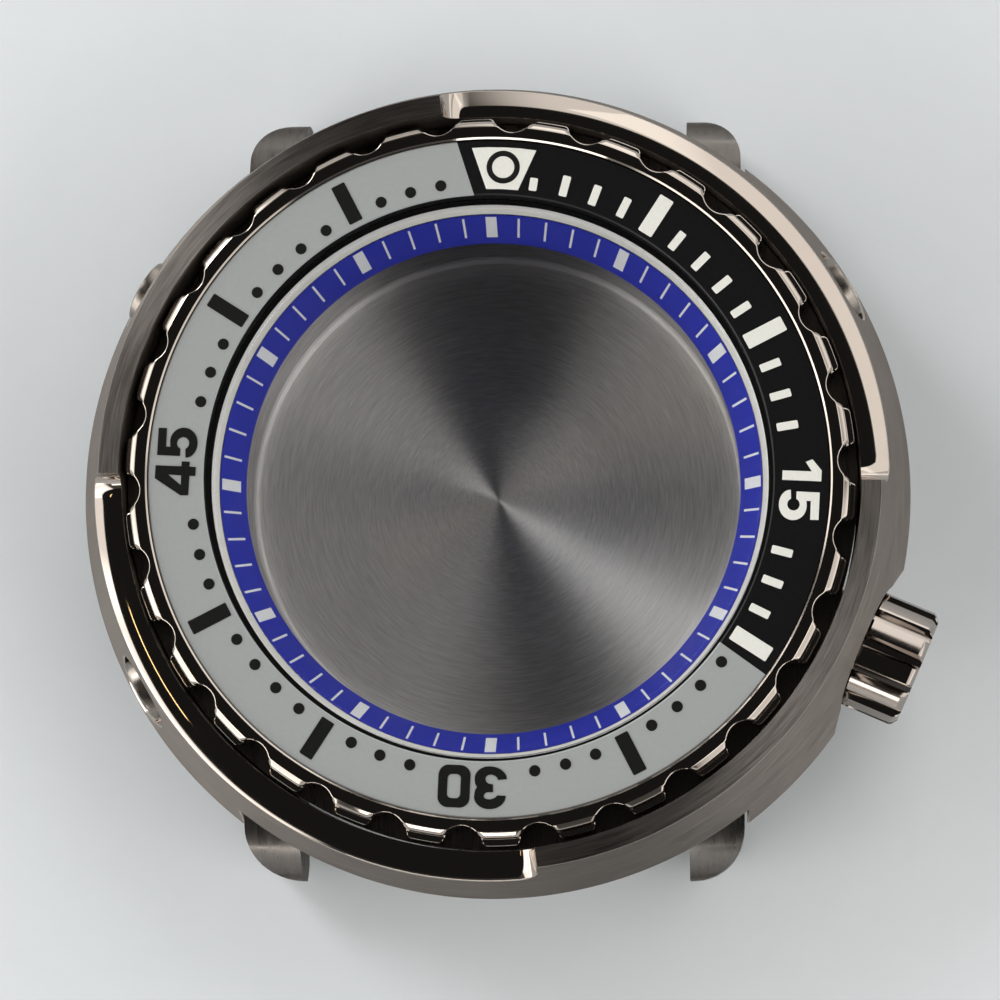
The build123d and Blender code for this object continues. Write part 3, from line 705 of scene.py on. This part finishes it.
def number(text, turn, mat, *figures):
    """A printed number from its figures, each with its left and lower edges, its top facing outwards."""
    shape = bpy.data.curves.new("number_" + text, "CURVE")
    shape.dimensions = "2D"
    shape.fill_mode = "BOTH"
    shape.extrude = print_t / 2 * mm
    for left, foot, loops in figures:
        for loop in loops:
            line = shape.splines.new("POLY")
            line.points.add(len(loop) - 1)
            for point, (x, y) in zip(line.points, loop):
                point.co = ((left + x) * mm, (foot + y) * mm, 0.0, 1.0)
            line.use_cyclic_u = True
    mesh = evaluated(placed("number_" + text, shape), "number_" + text)
    place = Matrix.Rotation(math.radians(-turn), 4, "Z")
    mesh.transform(place @ Matrix.Translation((0, 0, (print_z + print_t / 2) * mm)))
    piece("number_" + text, mesh, "bezel", "insert_metal", mats=[mat])


number("15", insert_turn + 90.2, pale_print, (-1.74, 16.22, figure_1), (0.0, 16.10, figure_5))
number("30", insert_turn + 179.75, dark_print, (-1.85, 16.01, figure_3), (0.1375, 16.01, figure_0))
number("45", insert_turn + 270.0, dark_print, (-1.85, 16.185, figure_4), (0.26, 16.17, figure_5))


# Bezel seal, back seal and crown seal: plain rings moulded in black rubber and slightly greased,
# which lie in their grooves and are hidden when the case is shut.

def coat(mat, *nodes):
    """Gives a finish to CAD nodes that stay as they are."""
    for node in nodes:
        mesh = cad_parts[node].data
        mesh.materials.clear()
        mesh.materials.append(mat)


rubber = finish(
    "greased black rubber", (0.012, 0.012, 0.012), 0.0, 0.5, plain_grain(4000.0, detail=4.0),
    (0.008, 0.008, 0.008), (0.022, 0.022, 0.021), gloss=(0.4, 0.62), depth=0.005)
coat(rubber, "bezel_seal", "case_back_seal", "crown_seal")


# Click spring, crown tube and crown post: spring steel strip bent to a raised tip, a steel tube
# turned for the crown and pressed into the side of the case, and the post that holds the stem.

spring_steel = finish(
    "bright spring steel", (0.62, 0.60, 0.58), 1.0, 0.28, plain_grain(1800.0, stretch=(1.0, 0.15, 1.0)),
    (0.56, 0.545, 0.53), (0.68, 0.66, 0.64), gloss=(0.2, 0.38))
coat(spring_steel, "click_spring", "crown_tube", "crown_post")


# Crystal and its seal: a flat disc of mineral glass with a polished bevel round its top, pressed
# with a moulded plastic ring into the neck of the case. The ring shows pale through the glass,
# and its top beside the glass is painted black: painted shade for the narrow gap there.

crystal_r, crystal_foot_z, crystal_top_z, crystal_bevel = 15.5, 10.35, 12.9, 0.4
crystal_finish = bpy.data.materials.new("clear glass")
crystal_finish.use_nodes = True
glass_tree = crystal_finish.node_tree
glass_tree.nodes.clear()
glass_wave = plain_grain(120.0, detail=2.0)(glass_tree)
glass_bump = add(glass_tree, "ShaderNodeBump", {"Height": glass_wave, "Strength": 0.02, "Distance": 0.002 * mm})
glass_shine = add(glass_tree, "ShaderNodeBsdfGlossy", {"Roughness": 0.02, "Normal": glass_bump.outputs[0]})
glass_clear = add(glass_tree, "ShaderNodeBsdfTransparent", {"Color": (0.985, 0.99, 0.992, 1.0)})
glass_edge = add(glass_tree, "ShaderNodeFresnel", {"IOR": 1.45})
glass_inside = add(glass_tree, "ShaderNodeNewGeometry").outputs["Backfacing"]
glass_share = add(glass_tree, "ShaderNodeMix", {0: glass_inside, 2: glass_edge.outputs[0], 3: 0.0}).outputs[0]
glass_mix = add(glass_tree, "ShaderNodeMixShader", {0: glass_share, 1: glass_clear.outputs[0],
                                                   2: glass_shine.outputs[0]})
add(glass_tree, "ShaderNodeOutputMaterial", {0: glass_mix.outputs[0]})
crystal_low_z, crystal_side_z, flat_r = crystal_foot_z + 0.05, crystal_top_z - crystal_bevel, 8.0
crystal_outline = [
    (0.0, crystal_low_z), (flat_r, crystal_low_z), (crystal_r - 0.1, crystal_low_z),
    (crystal_r - 0.06, crystal_low_z), (crystal_r, crystal_foot_z + 0.1), (crystal_r, crystal_side_z - 0.03),
    (crystal_r - 0.02, crystal_side_z), (crystal_r - crystal_bevel, crystal_top_z - 0.02),
    (crystal_r - crystal_bevel - 0.04, crystal_top_z), (crystal_r - crystal_bevel - 0.08, crystal_top_z),
    (flat_r, crystal_top_z), (0.0, crystal_top_z)]
crystal_mesh = shell("crystal_clear", *turned(crystal_outline, 180))
piece("crystal_clear", crystal_mesh, "case", "crystal_glass", "crystal", mats=[crystal_finish])

seal_plastic = finish(
    "pale sealing plastic", (0.84, 0.83, 0.80), 0.0, 0.45, plain_grain(2500.0), (0.80, 0.79, 0.76),
    (0.88, 0.87, 0.84), gloss=(0.38, 0.55))
# Painted shade: the top faces of the seal are painted matte black, standing for the shade in the narrow gap
# beside the glass.
seal_top_painted_shade = finish(
    "painted shade on the top of the crystal seal", (0.010, 0.010, 0.010), 0.0, 0.7, plain_grain(2500.0),
    (0.006, 0.006, 0.006), (0.015, 0.015, 0.015), Specular_IOR_Level=0.05)
seal_in, seal_out, seal_top_z, seal_ease = crystal_r + 0.01, 15.84, 11.5, 0.04
seal_foot_in, seal_foot_z = 15.21, crystal_foot_z + 0.04
seal_outline = [(seal_foot_in, crystal_foot_z), (seal_out - 2 * seal_ease, crystal_foot_z),
                (seal_out, crystal_foot_z + 2 * seal_ease), (seal_out, seal_top_z - seal_ease),
                (seal_out - seal_ease, seal_top_z), (seal_in + seal_ease, seal_top_z),
                (seal_in, seal_top_z - seal_ease), (seal_in, seal_foot_z), (seal_foot_in, seal_foot_z)]
seal_mesh = shell("crystal_seal_dressed", *turned(seal_outline, 180, closed=True))
# Faces on top of the seal take the black painted shade; the rest take the pale plastic.
for face in seal_mesh.polygons:
    face.material_index = 1 if face.center.z / mm > seal_top_z - 0.05 else 0
piece("crystal_seal_dressed", seal_mesh, "case", "seal_plastic", "crystal_seal",
      mats=[seal_plastic, seal_top_painted_shade])


# Chapter ring: a turned metal ring under the crystal, lacquered blue, whose sloping face
# carries sixty fine minute lines with a white block at every hour.

chapter_in, chapter_out, chapter_foot_z, chapter_lip_z, chapter_top_z = 13.97, 15.18, 7.9, 8.2, 10.3
blue_lacquer = finish(
    "blue satin lacquer", (0.022, 0.034, 0.42), 0.0, 0.35, ring_grain(30.0, 3000.0), (0.019, 0.030, 0.38),
    (0.026, 0.038, 0.46), gloss=(0.3, 0.44), Specular_IOR_Level=0.4)
slope = (chapter_top_z - chapter_lip_z) / (chapter_out - chapter_in)
chapter_ease = 0.03
chapter_outline = [(chapter_in, chapter_foot_z), (chapter_in, chapter_lip_z - chapter_ease),
                   (chapter_in + chapter_ease, chapter_lip_z + chapter_ease * slope),
                   (chapter_out - chapter_ease, chapter_top_z - chapter_ease * slope),
                   (chapter_out, chapter_top_z - 0.04), (chapter_out, chapter_foot_z)]
chapter_mesh = shell("chapter_dressed", *turned(chapter_outline, 180, closed=True))
piece("chapter_dressed", chapter_mesh, "case", "blue_ring", "chapter_ring", mats=[blue_lacquer])


def track_mark(name, inner, outer, width, lift=0.02):
    """A thin white mark laid on the sloping track at twelve."""
    half = width / 2
    normal = Vector((-slope, 1.0)).normalized() * lift
    points = []
    for raised in (0.0, 1.0):
        for r in (inner, outer):
            z = chapter_lip_z + (r - chapter_in) * slope
            for side in (-half, half):
                points.append((side, r + normal.x * raised, z + normal.y * (raised - 0.2 * (1 - raised))))
    faces = [(0, 1, 3, 2), (4, 6, 7, 5), (0, 4, 5, 1), (2, 3, 7, 6), (0, 2, 6, 4), (1, 5, 7, 3)]
    return shell(name, points, faces)


white_print = finish(
    "white fine print", (0.86, 0.87, 0.88), 0.0, 0.5, plain_grain(5000.0), (0.83, 0.84, 0.85),
    (0.89, 0.90, 0.91))
minute_turns = [6.0 * index for index in range(60) if index % 5]
minute_line = track_mark("minute_line", 14.25, 15.06, 0.13)
piece("minute_lines", placed_round("minute_lines", minute_line, minute_turns, white_print), "case", "blue_ring")
hour_turns = [30.0 * index for index in range(12)]
hour_block = track_mark("hour_block", 14.22, 15.09, 0.62)
piece("hour_blocks", placed_round("hour_blocks", hour_block, hour_turns, white_print), "case", "blue_ring")


# Case back: a steel plate turned in fine circles inside and out, with a threaded wall that
# screws into the case and six notches in its rim for the key.

back_rim, back_wall, back_recess, back_floor_z, back_wall_z = 17.1, 15.85, 14.0, 1.7, 3.0
flange_low_z, flange_z, thread_foot_z, back_ease = 0.6, 1.0, 1.05, 0.12
thread_pitch, thread_deep, thread_steps, thread_fade = 0.5, 0.22, 32, 0.2
key_half, key_deep = math.degrees(1.3 / 16.6), 1.0


def back_column(turn):
    """Outline of the case back at one place, with its thread's height there."""
    key = abs((turn + 30.0) % 60.0 - 30.0)
    rim = back_rim - (key_deep if key < key_half else 0.0)
    outline = [(r, 0.0) for r in (0.0, 4.0, 9.0, 14.0, rim - 0.2)]
    outline += [(rim, 0.2), (rim, flange_low_z), (back_rim, flange_low_z), (back_rim, flange_z - 0.1),
                (back_rim - 0.1, flange_z), (back_wall - thread_deep, flange_z)]
    thread_top_z = back_wall_z - 0.15
    for step in range(thread_steps + 1):
        z = thread_foot_z + (thread_top_z - thread_foot_z) * step / thread_steps
        phase = (z / thread_pitch + turn / 360.0) % 1.0
        depth = thread_deep * abs(2 * phase - 1)
        fade = min(1.0, (z - thread_foot_z) / thread_fade, (thread_top_z - z) / thread_fade)
        outline.append((back_wall - thread_deep + (thread_deep - depth) * max(fade, 0.0), z))
    outline += [(back_wall - thread_deep - back_ease, back_wall_z), (back_recess + back_ease, back_wall_z),
                (back_recess, back_wall_z - back_ease), (back_recess, back_floor_z + 0.25),
                (back_recess - 0.07, back_floor_z + 0.07), (back_recess - 0.25, back_floor_z)]
    return outline + [(r, back_floor_z) for r in (13.0, 10.0, 6.0, 2.0, 0.0)]


back_turns = {3.0 * index for index in range(120)}
back_turns |= {(60.0 * index + side * (key_half + nudge)) % 360.0 for index in range(6) for side in (-1, 1)
               for nudge in (-0.01, 0.01)}
back_columns = [(turn, back_column(turn)) for turn in sorted(back_turns)]
back_mesh = shell("back_dressed", *swept(back_columns, closed=False))
back_finish = finish(
    "steel turned in fine circles", (0.66, 0.64, 0.62), 1.0, 0.54, ring_grain(8.0, 11000.0),
    (0.64, 0.62, 0.60), (0.93, 0.905, 0.88), gloss=(0.48, 0.60), full=True, Anisotropic=1.0,
    Anisotropic_Rotation=0.25)
brushed_round(back_finish)
piece("back_dressed", back_mesh, "back", "back_steel", "case_back", mats=[back_finish])


# Crown: a polished steel cap with twelve broad ridges for the fingers, which screws down
# over the tube. The seal ring sits in its mouth.

crown_in, crown_out, crown_r, crown_root = 22.3, 26.03, 3.4, 2.98
crown_bore, crown_seal_r, crown_seal_deep, bore_end = 1.87, 2.29, 0.53, 25.25
crown_ridges, crown_phase = 12, 17.0
crown_half = 180.0 / crown_ridges
ridge_floor, ridge_mouth, ridge_flat = 3.4, 6.9, 7.2


def ridge_r(turn):
    """Radius of the crown's side at an angle from the middle of a groove."""
    turn = abs(turn)
    flat = crown_r * math.cos(math.radians(ridge_flat)) / math.cos(math.radians(crown_half - turn)) + 0.02
    if turn <= ridge_floor:
        return crown_root
    if turn >= ridge_mouth:
        return min(crown_r, flat)
    share = (turn - ridge_floor) / (ridge_mouth - ridge_floor)
    return crown_root + (min(crown_r, flat) - crown_root) * share


def crown_column(turn):
    """Outline of the crown at one place, from its mouth over the ridge to the middle of its end."""
    side = ridge_r(turn)
    ease = 0.38 if side > crown_root + 0.2 else 0.12
    return [
        (crown_bore, crown_in + crown_seal_deep), (crown_seal_r, crown_in + crown_seal_deep),
        (crown_seal_r, crown_in + 0.05), (crown_seal_r + 0.05, crown_in),
        (min(side - ease, crown_root), crown_in), (side - ease * 0.3, crown_in + ease * 0.7),
        (side, crown_in + ease), (side, crown_out - ease),
        (side - ease * 0.3, crown_out - ease * 0.7 + 0.08), (side - ease, crown_out - 0.02),
        (side - ease - 0.08, crown_out), (2.08, crown_out), (2.0, crown_out - 0.02), (1.9, crown_out - 0.12),
        (0.0, crown_out - 0.12),
    ]


crown_half_turns = [0.0, 3.2, 3.7, 4.2, 6.4, 6.9, 7.4, 8.5, 11.0, 15.0]
crown_turns = sorted({-turn for turn in crown_half_turns} | set(crown_half_turns))
crown_columns = [(turn, crown_column(turn)) for turn in crown_turns]
crown_shape = shell("crown_shape", *swept(crown_columns, closed=False, whole=False))
crown_finish = finish(
    "polished dark steel of the crown", (0.36, 0.32, 0.288), 1.0, 0.09, plain_grain(700.0, detail=4.0),
    (0.335, 0.298, 0.268), (0.385, 0.343, 0.31), gloss=(0.06, 0.15))
crown_places = [360.0 / crown_ridges * (index + 0.5) + crown_phase for index in range(crown_ridges)]
crown_mesh = placed_round("crown_dressed", crown_shape, crown_places, crown_finish, merge=0.001)
bore_outline = [(crown_bore, crown_in + crown_seal_deep), (crown_bore, bore_end), (0.0, bore_end)]
bore_mesh = shell("crown_bore", *turned(bore_outline, 48))
joined = bmesh.new()
joined.from_mesh(crown_mesh)
joined.from_mesh(bore_mesh)
bmesh.ops.remove_doubles(joined, verts=joined.verts, dist=0.001 * mm)
bmesh.ops.recalc_face_normals(joined, faces=joined.faces)
joined.to_mesh(crown_mesh)
joined.free()
crown_mesh.transform(along_spoke(crown_turn, crown_z))
piece("crown_dressed", crown_mesh, "crown", "crown_steel", "crown_cap")


# Crown spring: a small coil of steel wire between the post's head and the crown.

coil_start, coil_end, coil_r, wire_r, coil_turns = 24.46, 25.25, 1.125, 0.09, 3.0
coil_steps, wire_sides = 84, 8
coil_points = []
for step in range(coil_steps + 1):
    share = step / coil_steps
    angle = 2 * math.pi * coil_turns * share
    way = coil_start + wire_r + (coil_end - coil_start - 2 * wire_r) * share
    for side in range(wire_sides):
        swing = 2 * math.pi * side / wire_sides
        r = coil_r + wire_r * math.cos(swing)
        coil_points.append((r * math.sin(angle), r * math.cos(angle), way + wire_r * math.sin(swing)))
coil_ends = [tuple(range(wire_sides)), tuple(range(coil_steps * wire_sides, (coil_steps + 1) * wire_sides))]
coil_faces = banded(coil_steps + 1, wire_sides) + coil_ends
coil_mesh = shell("crown_coil", coil_points, coil_faces, smallest=0.0001)
coil_mesh.transform(along_spoke(crown_turn, crown_z))
piece("crown_coil", coil_mesh, "crown_inside", "spring_steel", "crown_spring", mats=[spring_steel])


# Studio: a plain pale floor under the case, a dim sky that is dark overhead with soft
# bright panels round its foot, and soft lamps in front of them.

floor_half = 1.5
floor_corners = [(x * floor_half, y * floor_half, 0.0) for x, y in ((-1, -1), (1, -1), (1, 1), (-1, 1))]
floor_mesh = bpy.data.meshes.new("floor")
floor_mesh.from_pydata(floor_corners, [], [(0, 1, 2, 3)])
floor = placed("floor", floor_mesh)
floor_finish = finish(
    "pale blue paper", (0.80, 0.84, 0.87), 0.0, 0.8, plain_grain(400.0), (0.785, 0.825, 0.855),
    (0.815, 0.855, 0.885))
floor_mesh.materials.append(floor_finish)

world = bpy.data.worlds.new("studio")
bpy.context.scene.world = world
world.use_nodes = True
sky_tree = world.node_tree
sky_tree.nodes.clear()
sky_way = add(sky_tree, "ShaderNodeTexCoord").outputs["Generated"]
sky_part = add(sky_tree, "ShaderNodeSeparateXYZ", {0: sky_way}).outputs
sky_flat = add(sky_tree, "ShaderNodeCombineXYZ", {0: sky_part[0], 1: sky_part[1]}).outputs[0]
sky_round = add(sky_tree, "ShaderNodeVectorMath", {0: sky_flat}, operation="NORMALIZE").outputs[0]


def panel(below, turn, half, soft, light):
    """Adds a soft bright panel to the sky, at an angle of the clock and with a half width in degrees."""
    near = add(sky_tree, "ShaderNodeVectorMath", {0: sky_round, 1: on_clock(1.0, 0.0, turn)},
               operation="DOT_PRODUCT")
    outer, inner = [math.cos(math.radians(place)) for place in (half + soft, half - soft)]
    tone = spread(sky_tree, near.outputs["Value"], 0.0, light, outer, inner, "SMOOTHSTEP")
    return add(sky_tree, "ShaderNodeMath", {0: below, 1: tone}, operation="ADD").outputs[0]


sky_band = spread(sky_tree, sky_part[2], 1.0, 0.12, 0.10, 0.22, "SMOOTHSTEP")
for turn, half, soft, light in ((40.0, 42.0, 8.0, 0.8), (10.0, 12.0, 6.0, 0.6), (292.0, 30.0, 6.0, 1.8),
                                (240.0, 26.0, 4.0, 2.5), (114.0, 28.0, 3.0, 1.3), (313.0, 9.0, 2.0, 1.6)):
    sky_band = panel(sky_band, turn, half, soft, light)
cap_middle, cap_edge, cap_light = (-0.1066, -0.0895, 0.990), (0.695, 0.72), 0.02
sky_high = add(sky_tree, "ShaderNodeVectorMath", {0: sky_way, 1: cap_middle}, operation="DOT_PRODUCT")
sky_cap = spread(sky_tree, sky_high.outputs["Value"], 0.0, 1.0, *cap_edge, "SMOOTHSTEP")
sky_tone = add(sky_tree, "ShaderNodeMix", {0: sky_cap, 2: sky_band, 3: cap_light}).outputs[0]
sky_light = add(sky_tree, "ShaderNodeBackground", {"Color": (1.0, 0.985, 0.96, 1.0), "Strength": sky_tone})
add(sky_tree, "ShaderNodeOutputWorld", {0: sky_light.outputs[0]})


def lamp(name, turn, height, size, power, colour=(1.0, 0.97, 0.93), way=0.6):
    """A large soft lamp that looks at the case."""
    light = bpy.data.lights.new(name, "AREA")
    light.shape = "RECTANGLE"
    light.size, light.size_y = size
    light.energy = power
    light.color = colour
    holder = placed(name, light)
    flat = math.cos(math.radians(height))
    place = Vector(on_clock(flat, math.sin(math.radians(height)), turn)) * way
    holder.location = place
    holder.rotation_euler = (-place).to_track_quat("-Z", "Y").to_euler()


lamp("right_lamp", 50.0, 36.0, (0.74, 0.38), 0.7)
lamp("left_lamp", 311.0, 34.0, (0.16, 0.2), 0.6, (0.97, 0.98, 1.0))
lamp("front_lamp", 125.0, 38.0, (0.4, 0.2), 0.45)
lamp("side_lamp", 240.0, 27.0, (0.3, 0.14), 0.3)
lamp("low_lamp", 192.0, 16.0, (0.3, 0.08), 0.32)
lamp("small_lamp", 254.0, 54.0, (0.12, 0.012), 0.03, (1.0, 0.72, 0.35))

camera_data = bpy.data.cameras.new("camera")
camera_data.lens = 142.24
camera_data.sensor_width = 36.0
camera_data.clip_start = 0.01
camera = placed("camera", camera_data)
camera_place, camera_roll = (0.012755, -0.027688, 0.22897), 0.07
camera_back = Vector((0.05534, -0.12088, 0.99112)).normalized()
camera_right = Vector((0.0, 1.0, 0.0)).cross(camera_back).normalized()
camera_turn = Matrix((camera_right, camera_back.cross(camera_right), camera_back)).transposed().to_4x4()
camera_turn = camera_turn @ Matrix.Rotation(math.radians(camera_roll), 4, "Z")
camera.matrix_world = Matrix.Translation(camera_place) @ camera_turn
bpy.context.scene.camera = camera
bpy.context.scene.view_settings.view_transform = "Standard"
